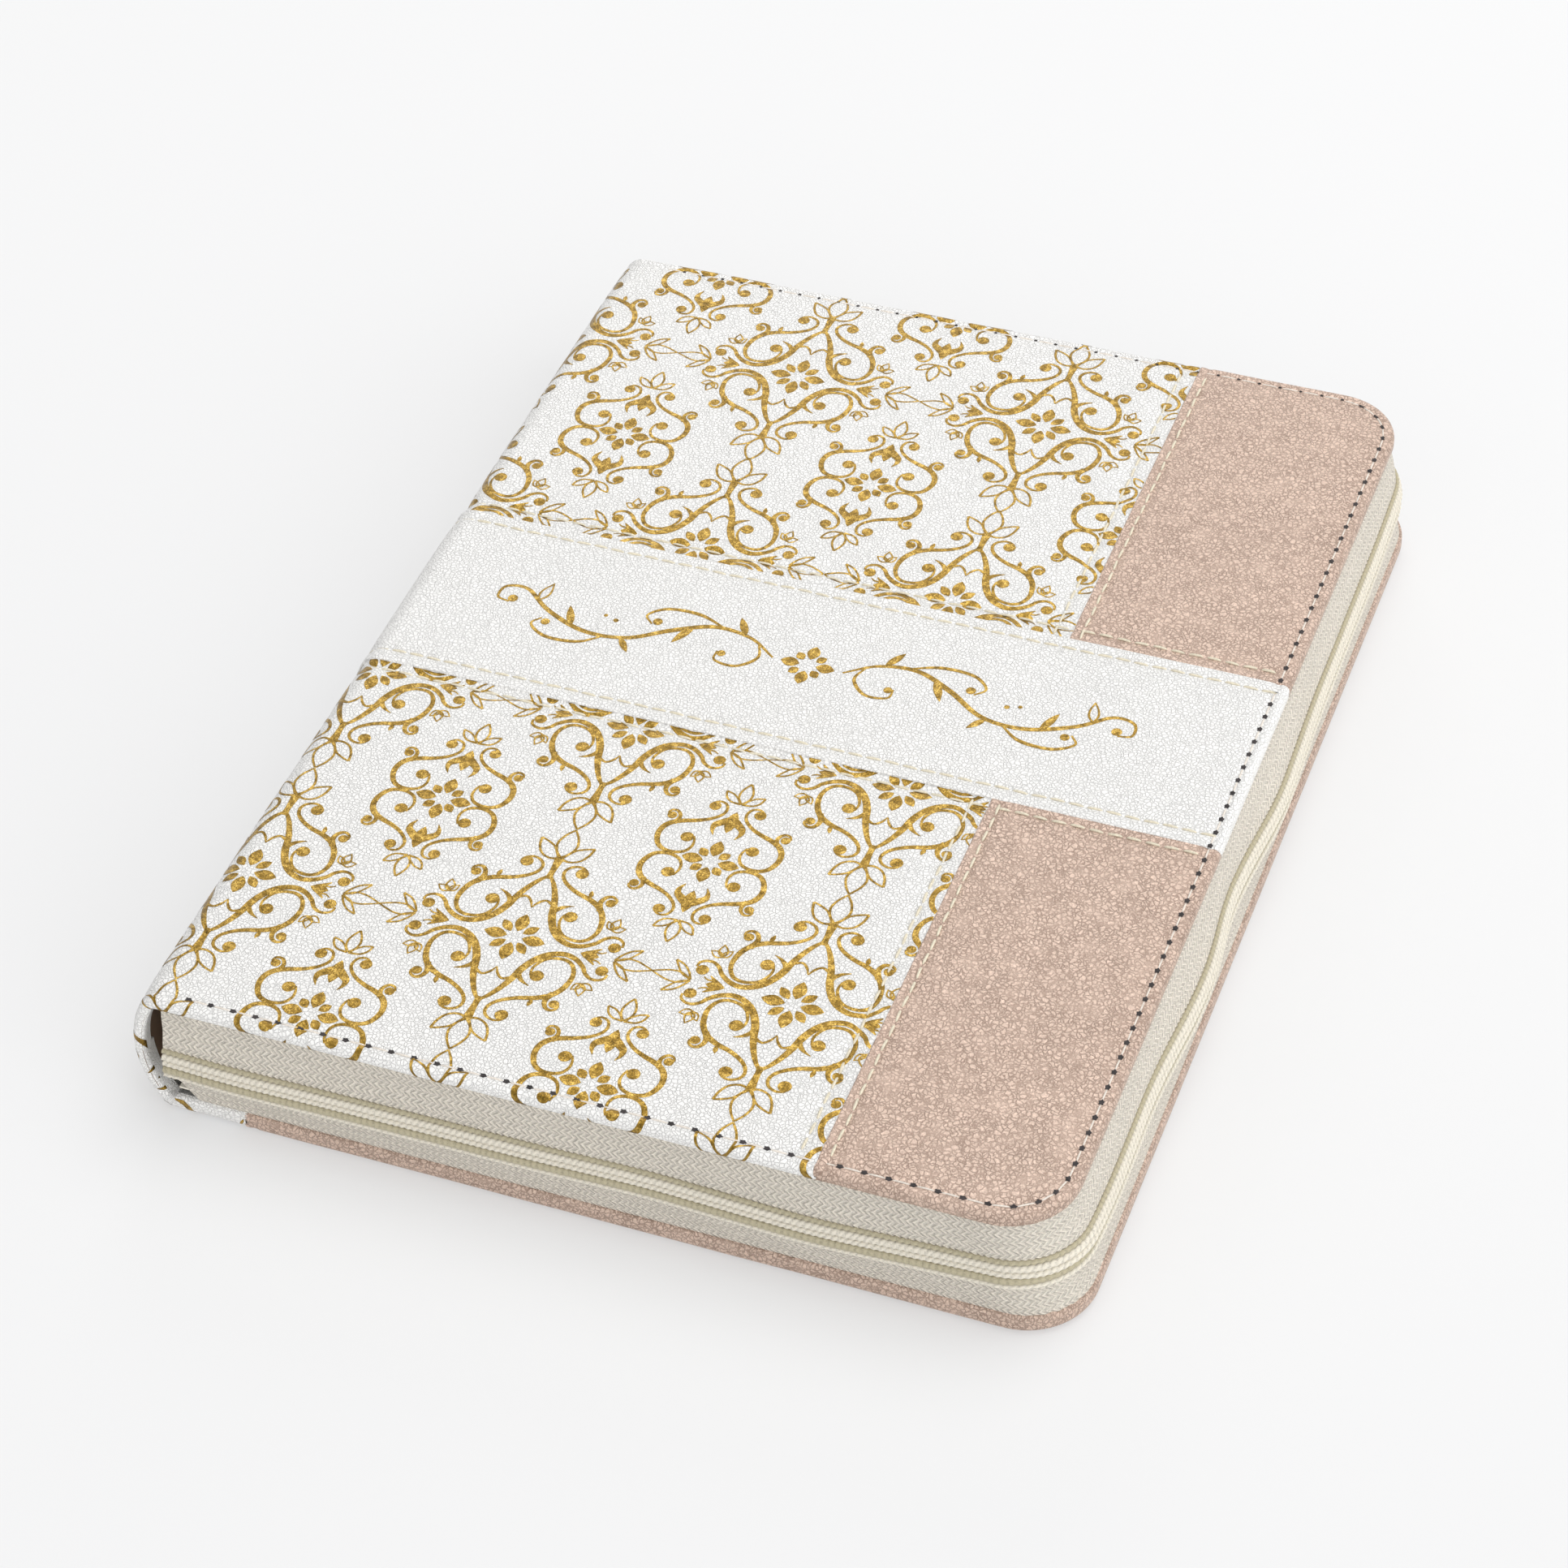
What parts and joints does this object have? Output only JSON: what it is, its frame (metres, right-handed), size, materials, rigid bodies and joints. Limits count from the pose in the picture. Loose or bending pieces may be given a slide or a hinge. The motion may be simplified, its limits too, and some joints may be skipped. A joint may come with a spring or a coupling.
{
  "type": "zip-around prayer journal",
  "caption": "Closed zip-around prayer journal with padded leatherette covers, bowed spine, sewn page block and a coil zipper round its open sides.",
  "frame": {"origin": "middle of the cover's footprint (front cover's outline) on the plane the closed book rests on, at the back cover's outer face", "axes": "+X from the spine to the fore-edge, +Y from the tail to the head, +Z from the back cover to the front cover"},
  "size_m": [0.1629, 0.217, 0.027],
  "materials": {
    "damask_leather": "matt grained, white with foil pattern",
    "white_leather": "matt grained white",
    "rose_leather": "metallic rose, fine pebble grain",
    "foam": "closed-cell padding",
    "board": "grey board",
    "lining": "smooth lining",
    "paper": "uncoated cream paper",
    "mull": "open gauze",
    "zip_tape": "woven tape",
    "zip_coil": "nylon rows",
    "zip_metal": "plated, satin"
  },
  "bodies": {
    "back_cover": {"back_damask_tail": "damask_leather", "back_damask_head": "damask_leather", "back_band": "white_leather", "back_panel": "rose_leather", "back_foam": "foam", "back_board": "board", "back_lining": "lining", "back_pastedown": "paper", "back_zip_tape": "zip_tape", "back_zip_row": "zip_coil", "back_top_stop": "zip_metal", "bottom_stop": "zip_metal", "back_flyleaf": "paper", "back_mull": "mull", "signature_01": "paper", "signature_02": "paper", "signature_03": "paper", "signature_04": "paper", "signature_05": "paper", "signature_06": "paper"},
    "spine": {"spine_damask_tail": "damask_leather", "spine_damask_head": "damask_leather", "spine_band": "white_leather", "spine_stiffener": "board", "spine_lining": "lining"},
    "front_cover": {"front_damask_tail": "damask_leather", "front_damask_head": "damask_leather", "title_band": "white_leather", "front_panel_tail": "rose_leather", "front_panel_head": "rose_leather", "front_foam": "foam", "front_board": "board", "front_lining": "lining", "front_pastedown": "paper", "front_zip_tape": "zip_tape", "front_zip_row": "zip_coil", "front_top_stop": "zip_metal"},
    "front_pages": {"front_flyleaf": "paper", "front_mull": "mull", "signature_07": "paper", "signature_08": "paper", "signature_09": "paper", "signature_10": "paper", "signature_11": "paper", "signature_12": "paper"},
    "slider": {"slider_body": "zip_metal", "slider_bail": "zip_metal"},
    "pull": {"zipper_pull": "zip_metal"}
  },
  "joints": [
    {"name": "spine_hinge", "type": "hinge", "parent": "back_cover", "child": "spine", "pos_m": [-0.07718, 0, 0.00192], "axis": [0, -1, 0], "range_deg": [0, 90]},
    {"name": "cover_hinge", "type": "hinge", "parent": "spine", "child": "front_cover", "pos_m": [-0.07718, 0, 0.02508], "axis": [0, -1, 0], "range_deg": [0, 90]},
    {"name": "pages_hinge", "type": "hinge", "parent": "back_cover", "child": "front_pages", "pos_m": [-0.0745, 0, 0.0135], "axis": [0, -1, 0], "range_deg": [0, 180]},
    {"name": "slider_travel", "type": "slide", "parent": "back_cover", "child": "slider", "axis": [1, 0, 0], "range_m": [0, 0.127]},
    {"name": "pull_swing", "type": "hinge", "parent": "slider", "child": "pull", "pos_m": [-0.0667, 0.10855, 0.0135], "axis": [0, 0, 1], "range_deg": [0, 180]}
  ],
  "couplings": [
    {"joint": "cover_hinge", "follows": "spine_hinge", "ratio": 1},
    {"joint": "pages_hinge", "follows": "spine_hinge", "ratio": 2}
  ]
}
